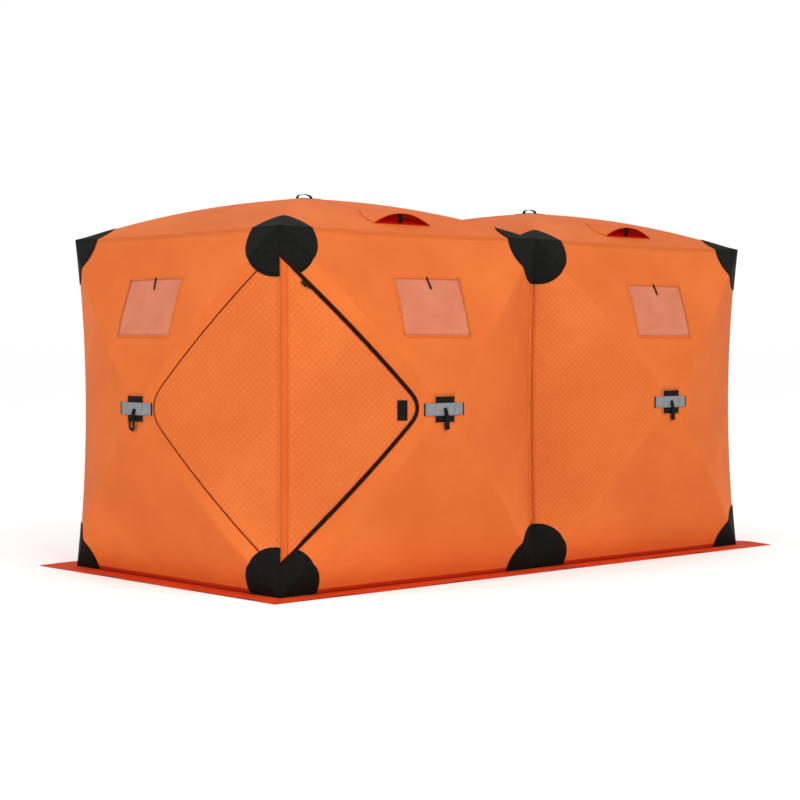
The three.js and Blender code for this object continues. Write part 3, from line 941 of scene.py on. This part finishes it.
def pull_loop(panel):
    """Strap folded into a loop with an open eye at its lower end."""
    reach = STRAP_LENGTH - 0.017
    down = np.linspace(0, 1, 14)
    side = LOOP["neck"] + (LOOP["eye"] - LOOP["neck"]) * np.clip((down - 0.35) / 0.5, 0, 1)
    bend = np.linspace(0, math.pi, 13)[1:-1]
    left = np.stack([-side, -reach * down], 1)
    end = np.stack([-LOOP["eye"] * np.cos(bend), -reach - LOOP["round"] * np.sin(bend)], 1)
    flat = np.concatenate([left, end, left[::-1] * (-1, 1)])
    cos, sin = math.cos(LOOP["tilt"]), math.sin(LOOP["tilt"])
    x = flat[:, 0] * cos - flat[:, 1] * sin
    y = flat[:, 0] * sin + flat[:, 1] * cos
    bow = np.sin(math.pi * np.clip(-flat[:, 1] / 0.13, 0, 1))
    z = panel.bulge + STRAP_LIFT + LOOP["proud"] * bow
    points, faces, uvs = ribbon(np.stack([x, y, z], 1), np.full(len(x), LOOP["width"]))
    on_hub(panel, points, faces, panel.name + "_pull_loop", "strap", STRAP_THICKNESS, uvs)


def roof_handle(panel):
    """Webbing arched over the roof hub, to pull it up by."""
    bend = np.linspace(0, math.pi, 25)
    x = -HANDLE["half_length"] * np.cos(bend)
    z = panel.bulge + HANDLE["lift"] + HANDLE["rise"] * np.sin(bend) ** 0.7
    line = ACROSS * HANDLE["width"]
    points = [(a, b, c) for a, c in zip(x, z) for b in line]
    uvs = [(b, a) for a in np.linspace(0, HANDLE["cut"], len(bend)) for b in line]
    faces = grid_faces(len(bend), len(line))
    on_hub(panel, points, faces, panel.name + "_handle", "strap", STRAP_THICKNESS, np.array(uvs), offset=0)


def tube(path, radii, sides=10):
    """Points and faces of a round bar of changing radius, its ends closed."""
    path = np.array(path, float)
    tangent = tangents(path)
    first = np.cross(tangent, (0.3, 0.5, 0.81))
    first /= np.linalg.norm(first, axis=1, keepdims=True)
    second = np.cross(tangent, first)
    turn = np.linspace(0, 2 * math.pi, sides, endpoint=False)
    ring = np.cos(turn)[None, :, None] * first[:, None] + np.sin(turn)[None, :, None] * second[:, None]
    points = path[:, None] + ring * np.asarray(radii, float)[:, None, None]
    faces = grid_faces(len(path), sides, closed=True)
    last = (len(path) - 1) * sides
    faces += [tuple(range(sides))[::-1], tuple(range(last, last + sides))]
    return points.reshape(-1, 3), faces


def pole_path(panel, sx, sy, start, end, count):
    """Middle of a pole between two shares of the way from the corner to the hub's square."""
    t = np.linspace(start, end, count)
    x = sx * (HALF * (1 - t) + HUB_SQUARE * t)
    y = sy * (panel.half_up * (1 - t) + HUB_SQUARE * t)
    depth = POLE_DEPTH + (PIN_DEPTH - POLE_DEPTH) * np.clip((t - 0.85) / 0.15, 0, 1) ** 2
    height = panel.bulge * np.clip(t, 0, 1) + 4 * RIDGE_BOW * t * np.clip(1 - t, 0, 1)
    return panel.world(x, y, height - depth)


def pole_parts(run):
    """Look, start, end and radii of each part of a pole, with places as shares of its run to the hub."""
    inner = 1 + (HUB_SQUARE * math.sqrt(2) - PIN_OFFSET - 0.006) / run
    return {
        "rod": ("pole", 0.030, 0.965, np.full(40, POLE_RADIUS)),
        "ferrule": ("hub", 0.945, inner, np.full(9, 0.008)),
        "tip_pocket": ("patch", 0.022, 0.075, np.linspace(0.0072, 0.0095, 8)),
    }


def add_pole(panel, sx, sy, place):
    """A bowed glass-fibre rod, its ferrule at the hub and its tip in the corner's pocket."""
    corner = panel.world(np.array(sx * HALF), np.array(sy * panel.half_up), np.array(0.0))
    hub = panel.world(np.array(sx * HUB_SQUARE), np.array(sy * HUB_SQUARE), np.array(0.0))
    run = math.hypot(HALF - HUB_SQUARE, panel.half_up - HUB_SQUARE)
    for part, (look, start, end, radii) in pole_parts(run).items():
        points, faces = tube(pole_path(panel, sx, sy, start, end, len(radii)), radii)
        uvs = points[:, :2] + points[:, 2:]
        piece = mesh_object(f"{panel.name}_{part}_{place}", points, faces, look, uvs)
        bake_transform(piece)
        if part == "rod":
            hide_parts(f"{panel.name}_pole_{place}")


def finish_hub(panel):
    """The moulded hub is shown as packed, with softened edges."""
    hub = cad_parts[panel.hub]
    hub.data.materials.clear()
    hub.data.materials.append(MATERIALS["hub"])
    soften_edges(hub, HUB_ROUND, 2).limit_method = "ANGLE"


def build_frame():
    signs = {"lower_left": (-1, -1), "lower_right": (1, -1), "upper_right": (1, 1), "upper_left": (-1, 1)}
    for panel in PANELS.values():
        finish_hub(panel)
        hub_cloth(panel)
        hub_patch(panel)
        for place, (sx, sy) in signs.items():
            add_pole(panel, sx, sy, place)
    for panel in WALLS:
        hub_band(panel)
        if panel.name.endswith("_end"):
            pull_loop(panel)
        else:
            pull_strap(panel)
    for panel in ROOFS:
        roof_handle(panel)


def build_patches():
    for panel in PANELS.values():
        for edge in EDGES:
            for end in (-1, 1):
                corner_patch(panel, edge, end)


# ---------------------------------------------------------------- windows

def add_window(panel):
    """Film behind the opening, tape round it, and a small toggle strap at its top."""
    rows, columns = 11, 15
    half = WINDOW["width"] / 2 + WINDOW_LAP
    across = np.linspace(-half, half, columns)
    down = np.linspace(WINDOW["top"] - WINDOW_LAP, WINDOW["bottom"] + WINDOW_LAP, rows)
    s, d = np.meshgrid(across, down)
    sheet = flat_mesh(s.ravel(), d.ravel(), grid_faces(rows, columns))
    pane = laid_on(panel, "top", sheet, panel.name + "_window", "window", WINDOW_LIFT["film"])
    sewn_on(pane, panel, "top", WINDOW_FILM)
    outline = window_outline()
    for index, ends in enumerate(zip(outline, outline[1:] + outline[:1])):
        name = f"{panel.name}_window_edge_{index}"
        tape = strip_on(panel, "top", ends, WINDOW_TAPE, name, "edge", WINDOW_LIFT["tape"], steps=12)
        sewn_on(tape, panel, "top", WINDOW_FILM)
    hang = [(s, WINDOW["top"] + d) for s, d in (TOGGLE["start"], TOGGLE["end"])]
    name = panel.name + "_window_toggle"
    width, lift = TOGGLE_STRAP["width"], TOGGLE_STRAP["lift"]
    toggle = strip_on(panel, "top", hang, width, name, "strap", lift, steps=10)
    sewn_on(toggle, panel, "top", TOGGLE_STRAP["thickness"])


# ---------------------------------------------------------------- doors

def sink_with_wall(piece, panel):
    """Gives the piece its own copy of its mesh."""
    anchor = tuple(panel.plane_point("left", 0.0))
    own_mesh(piece)


def door_follow(piece, panel, door):
    """Opens with the door flap, on its own copy of its mesh."""
    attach(piece, door + "_flap")
    sink_with_wall(piece, panel)


def door_sheet(panel, edge, low, high, shrink=0.0):
    """The part of the door between two distances from the crease, drawn flat."""
    outline = door_outline(panel, edge, -shrink)
    sheet = triangle_sheet(panel, edge)
    cut_along(sheet, Vector((0, low, 0)), Vector((0, 1, 0)))
    cut_along(sheet, Vector((0, high, 0)), Vector((0, -1, 0)))
    cut_by(sheet, outline)
    keep_faces(sheet, lambda x, y: low < y < high and inside(outline, x, y))
    return sheet


def zip_side(panel, edge, name, side, taper=0.0):
    """One half of the zip's tape, beside the door's outline."""
    path = door_outline(panel, edge)
    width = ZIP_WIDTH / 2
    piece = strip_on(panel, edge, path, width, name, "zip", ZIP_LIFT, steps=90, side=side, taper=taper)
    thicken(piece, TRIM["tape"])
    return piece


def add_open_side(panel, door):
    """The half of the door that opens, on the wall's left triangle."""
    edge = "left"
    sheet = door_sheet(panel, edge, DOOR_FOLD, HALF, FLAP_CLEAR)
    flap = laid_on(panel, edge, sheet, door + "_flap_cloth", "quilted", FLAP_LIFT)
    declare_stretched(flap, DOOR_HIGH - DOOR_LOW, DOOR_REACH)
    thicken(flap, CLOTH)
    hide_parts(door + "_flap")
    door_follow(flap, panel, door)

    sheet = door_sheet(panel, edge, 0.0, DOOR_FOLD, FLAP_CLEAR)
    # the fold strip takes the crease cloth, painted darker: painted shade of the door's fold
    fold = laid_on(panel, edge, sheet, door + "_fold", "crease", FLAP_LIFT)
    thicken(fold, CLOTH)
    start = panel.plane_point(edge, 0.0)
    end = panel.plane_point(edge, DOOR_FOLD)
    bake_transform(fold)

    # the wall's half of the tape lies outside the door's outline, and the flap's half inside it
    wall_side = -ALONG[edge][1] * ZIP_WIDTH / 4
    wall_tape = zip_side(panel, edge, door + "_zip_wall_tape", wall_side)
    follow_panel(wall_tape, panel, edge)
    flap_tape = zip_side(panel, edge, door + "_zip_flap_tape", -wall_side, ZIP_TAPER)
    door_follow(flap_tape, panel, door)
    path = door_outline(panel, edge)
    lift = ZIP_LIFT + ZIP_COIL["rise"]
    coil = strip_on(panel, edge, path, ZIP_COIL["width"], door + "_zip_coil", "coil", lift, steps=120)
    thicken(coil, TRIM["coil"])
    door_follow(coil, panel, door)


def add_sewn_side(panel, edge, door):
    """The half of the door that stays sewn to the end wall, with piping round it."""
    sheet = door_sheet(panel, edge, 0.0, HALF)
    half = laid_on(panel, edge, sheet, door + "_sewn_cloth", "quilted", SEWN_LIFT)
    declare_stretched(half, DOOR_HIGH - DOOR_LOW, DOOR_REACH)
    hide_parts(door + "_sewn_side")
    sewn_on(half, panel, edge, CLOTH)
    outline = door_outline(panel, edge)
    name = door + "_piping"
    piping = strip_on(panel, edge, outline, PIPING["width"], name, "seam", PIPING["lift"], steps=90)
    sewn_on(piping, panel, edge, PIPING["thickness"])


def add_door_tab(panel, door):
    """Hook-and-loop tab that holds the point of the flap."""
    middle = DOOR_POINT - ZIP_WIDTH / 2 - DOOR_TAB["inset"] - DOOR_TAB["width"] / 2
    path = [(-DOOR_TAB["height"] / 2, middle), (DOOR_TAB["height"] / 2, middle)]
    lift = DOOR_TAB["lift"]
    tab = strip_on(panel, "left", path, DOOR_TAB["width"], door + "_tab", "strap", lift, steps=8)
    thicken(tab, TRIM["tab"])
    door_follow(tab, panel, door)


def zip_direction(panel):
    """Which way the upper run of the zip goes, from its top down towards the door's point."""
    path = np.array(door_outline(panel, "left"))
    track = panel.cloth("left", path[:, 0], path[:, 1], np.zeros(len(path)))
    if track[0][2] < track[-1][2]:
        track = track[::-1]
    return Vector(track[1] - track[0]).normalized()


def add_slider(panel, door):
    """Zip slider on its own track, with a pull tab."""
    name = door + "_zip_slider"
    body = bpy.data.objects.new(door + "_slider_body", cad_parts[name].data.copy())
    bpy.context.scene.collection.objects.link(body)
    body.data.materials.clear()
    body.data.materials.append(MATERIALS["metal"])
    soften_edges(body, SLIDER_ROUND, 3)
    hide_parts(name)

    outward = Vector(panel.out)
    face = centre_of(name) + outward * (abs(size_of(name).dot(outward)) / 2 + PULL_TAB["clear"])
    along = zip_direction(panel)
    sideways = outward.cross(along).normalized()
    points = []
    for down in np.linspace(0, PULL_TAB["length"], 7):
        for across in np.linspace(-0.5, 0.5, 4) * PULL_TAB["width"]:
            points.append(face + sideways * across + along * down + outward * PULL_TAB["lean"] * down)
    pull = mesh_object(door + "_slider_pull", points, grid_faces(7, 4), "metal")
    thicken(pull, PULL_TAB["thickness"], 0)
    for piece in (body, pull):
        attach(piece, name)
        sink_with_wall(piece, panel)


def build_doors():
    for (name, _), door in DOOR_FLAPS.items():
        add_open_side(PANELS[name], door)
        add_door_tab(PANELS[name], door)
        add_slider(PANELS[name], door)
    for (name, edge), door in SEWN_SIDES.items():
        add_sewn_side(PANELS[name], edge, door)


# ---------------------------------------------------------------- roof vents

def above(panel, edge, x, y):
    """Nominal s and d of the cloth that lies over a place on the panel's plane, found by trial."""
    tx, ty = TOWARDS[edge]
    ax, ay = ALONG[edge]
    s = x * ax + y * ay
    inward = panel.reach(edge) - (x * tx + y * ty)
    d = np.array(inward, float)
    for _ in range(6):
        lx, ly = panel.cloth_local(edge, s, d)[:2]
        d = d + inward - (panel.reach(edge) - (lx * tx + ly * ty))
    return s, d


def hood_grid(panel, columns=33, rows=17, grow=0.0, drop=0.0, arch=1.0):
    """Vent cloth: arched over the mouth at its front and running back down on to the roof."""
    share, back = np.meshgrid(np.linspace(-1, 1, columns), np.linspace(0, 1, rows))
    depth = VENT_DEPTH * (1 - VENT_ROUND * share * share)
    x = VENT_OFFSET + share * (VENT_WIDTH / 2 + grow)
    y = -HALF + VENT_INSET + back * (depth + grow)
    s, d = above(panel, "bottom", x, y)
    lx, ly, lz = panel.cloth_local("bottom", s, d)
    rise = arch * VENT_ARCH * (1 - share * share) * (1 - back)
    lz = lz + VENT_LIFT + rise - drop
    uvs = np.stack([x.ravel(), (back * depth).ravel()], 1)
    return panel.world(lx, ly, lz).reshape(-1, 3), grid_faces(rows, columns), uvs


def hood_piece(panel, name, look, **shape):
    points, faces, uvs = hood_grid(panel, **shape)
    return mesh_object(name, points, faces, look, uvs)


def add_vent(panel, side):
    """Hood and its red lining, red cloth on the roof under them, and a stiff rim at the mouth."""
    hood = hood_piece(panel, side + "_vent_hood_cloth", "orange")
    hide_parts(side + "_vent_hood")
    thicken(hood, VENT_CLOTH)
    lining = hood_piece(panel, side + "_vent_lining", "lining", drop=LINING_DROP)
    thicken(lining, VENT_CLOTH)
    under = hood_piece(panel, side + "_vent_mesh", "lining", **UNDER_VENT)
    columns = 49
    mouth = hood_grid(panel, columns=columns, rows=2)[0][:columns]
    points, faces = tube(mouth, np.full(columns, VENT_RIM), sides=8)
    rim = mesh_object(side + "_vent_rim", points, faces, "edge")
    for piece in (hood, lining, under, rim):
        follow_panel(piece, panel, "bottom")
    add_prop(side)


def add_prop(side):
    """Stiff strap, bowed forward, that holds the vent's mouth up."""
    node = side + "_vent_prop"
    low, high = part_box(node)
    middle = (low + high) / 2
    rows = 15
    points, uvs = [], []
    for share in np.linspace(0, 1, rows):
        y = middle.y - PROP["bow"] * math.sin(math.pi * share)
        z = low.z + share * (high.z - low.z - PROP["clear"])
        for across in ACROSS * (high - low).x:
            points.append((middle.x + across, y, z))
            uvs.append((across, share * PROP["length"]))
    faces = grid_faces(rows, len(ACROSS))
    prop = mesh_object(side + "_vent_strap", points, faces, "strap", np.array(uvs))
    thicken(prop, PROP["thickness"], 0)
    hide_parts(node)
    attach(prop, node)
    share = (middle.y + HALF) / (HALF - HUB_SQUARE)
    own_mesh(prop)


# ---------------------------------------------------------------- skirt, cover strips and foot tape

def ripple(along, share):
    """Height of the skirt's waves, which grow towards its outer edge."""
    wave = sum(size * math.sin(along * rate + phase) for size, rate, phase in WAVES)
    return RIPPLE * share * share * (wave + WAVES_RAISED)


def outward_by(corner, grow):
    return [value + math.copysign(grow, value) for value in corner]


def skirt_side(start, end, run):
    """Points and UVs of the band along one side, with mitred ends; run is where that side starts."""
    length = math.dist(start, end)
    points, uvs = [], []
    for share in np.linspace(0, 1, SKIRT_ROWS):
        grow = SKIRT_GAP + share * (SKIRT_WIDTH - SKIRT_GAP)
        (x0, y0), (x1, y1) = outward_by(start, grow), outward_by(end, grow)
        hem = SKIRT_HEM["rise"] if share > SKIRT_HEM["start"] else 0.0
        for k in np.linspace(0, 1, SKIRT_COLUMNS):
            calm = min(1.0, 12 * min(k, 1 - k))
            z = SKIRT_LIFT + hem + ripple(run + k * length, share) * calm
            points.append((x0 + (x1 - x0) * k, y0 + (y1 - y0) * k, z))
            uvs.append((k * (length + 2 * grow) - grow, grow))
    return points, uvs


def add_skirt():
    """Flat band round the foot of the walls with mitred corners and a turned hem."""
    corners = [(-CUBE_SIDE, -HALF), (CUBE_SIDE, -HALF), (CUBE_SIDE, HALF), (-CUBE_SIDE, HALF)]
    points, uvs, faces = [], [], []
    run = 0.0
    for start, end in zip(corners, corners[1:] + corners[:1]):
        base = len(points)
        side_points, side_uvs = skirt_side(start, end, run)
        points += side_points
        uvs += side_uvs
        faces += [tuple(base + i for i in face) for face in grid_faces(SKIRT_ROWS, SKIRT_COLUMNS)]
        run += math.dist(start, end)
    skirt = mesh_object("snow_skirt_cloth", points, faces, "skirt", np.array(uvs), outward=(0, 0, 1))
    thicken(skirt, SKIRT_CLOTH)
    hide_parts("snow_skirt")
    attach(skirt, "root")


def add_tape(panel, edge, clear, middle, width, name, look, lift, thickness=0.0010):
    """A straight strip along one edge of a panel, stopping short of both corners."""
    end = panel.half_width(edge) - clear
    tape = strip_on(panel, edge, [(-end, middle), (end, middle)], width, name, look, lift, steps=40)
    sewn_on(tape, panel, edge, thickness)


def add_tapes():
    """Foot tape round the walls, and the strips that cover the joint between the two cubes."""
    clear = PATCH_SHAPES["foot"]["edge"] - 0.008
    for panel in WALLS:
        name = panel.name + "_foot_tape"
        add_tape(panel, "bottom", clear, FOOT_TAPE / 2, FOOT_TAPE, name, "foot", FOOT_LIFT)
    clear = PATCH_RADIUS - 0.004
    for name in ("front_left", "back_right"):
        panel = PANELS[name]
        cover = name + "_join_cover"
        add_tape(panel, "right", clear, JOIN_COVER / 2, JOIN_COVER, cover, "orange", COVER_LIFT)
        add_tape(panel, "right", clear, 0.0, name=name + "_join_seam", look="fold", **JOIN_SEAM)
    roof_panel = PANELS["left_roof"]
    cover = "roof_join_cover"
    add_tape(roof_panel, "right", PATCH_RADIUS, 0.0, JOIN_COVER, cover, "orange", COVER_LIFT)


# ---------------------------------------------------------------- camera, light and floor

CAMERA_PLACE = (-7.517, -8.028, 1.2527)
CAMERA_AZIMUTH = math.radians(-42.41)
CAMERA_TILT = math.radians(1.77)
CAMERA_LENS = 84.15
LIGHTS = {
    "key": {"place": (-2.5, -8.5, 7.0), "size": 6.0, "power": 385},
    "fill": {"place": (-8.0, -2.0, 4.0), "size": 5.0, "power": 135},
}
FLOOR_HALF = 400.0
FLOOR_TONE = 0.97
FLOOR_ROUGHNESS = 0.9
SKY_LIGHT = 1.02
FLOOR_DROP = 0.001
VIEW_FAR = 1000


def add_camera():
    data = bpy.data.cameras.new("camera")
    data.lens = CAMERA_LENS
    data.clip_end = VIEW_FAR
    camera = bpy.data.objects.new("camera", data)
    bpy.context.scene.collection.objects.link(camera)
    camera.location = CAMERA_PLACE
    camera.rotation_euler = (math.pi / 2 - CAMERA_TILT, 0, CAMERA_AZIMUTH)
    bpy.context.scene.camera = camera


def add_area_light(name, place, size, power, aim=(0, 0, 1.0)):
    data = bpy.data.lights.new(name, "AREA")
    data.shape = "DISK"
    data.size = size
    data.energy = power
    light = bpy.data.objects.new(name, data)
    bpy.context.scene.collection.objects.link(light)
    light.location = place
    direction = Vector(aim) - Vector(place)
    light.rotation_euler = direction.to_track_quat("-Z", "Y").to_euler()


def add_sky():
    world = bpy.data.worlds.new("studio")
    bpy.context.scene.world = world
    world.use_nodes = True
    sky = world.node_tree.nodes["Background"]
    sky.inputs["Color"].default_value = (1.0, 1.0, 1.0, 1.0)
    sky.inputs["Strength"].default_value = SKY_LIGHT
    bpy.context.scene.view_settings.view_transform = "Standard"


def add_floor():
    mesh = bpy.data.meshes.new("floor")
    turns = ((-1, -1), (1, -1), (1, 1), (-1, 1))
    corners = [(x * FLOOR_HALF, y * FLOOR_HALF, 0) for x, y in turns]
    mesh.from_pydata(corners, [], [(0, 1, 2, 3)])
    floor = bpy.data.objects.new("floor", mesh)
    bpy.context.scene.collection.objects.link(floor)
    pale = bpy.data.materials.new("pale_floor")
    pale.use_nodes = True
    shader = pale.node_tree.nodes["Principled BSDF"]
    shader.inputs["Base Color"].default_value = (FLOOR_TONE, FLOOR_TONE, FLOOR_TONE, 1.0)
    shader.inputs["Roughness"].default_value = FLOOR_ROUGHNESS
    mesh.materials.append(pale)
    floor.location.z = -FLOOR_DROP


add_camera()
add_sky()
for light_name, light in LIGHTS.items():
    add_area_light(light_name, **light)
add_floor()
build_cloth()
build_frame()
build_patches()
build_doors()
for wall_panel in WALLS:
    add_window(wall_panel)
add_vent(PANELS["left_roof"], "left")
add_vent(PANELS["right_roof"], "right")
add_skirt()
add_tapes()
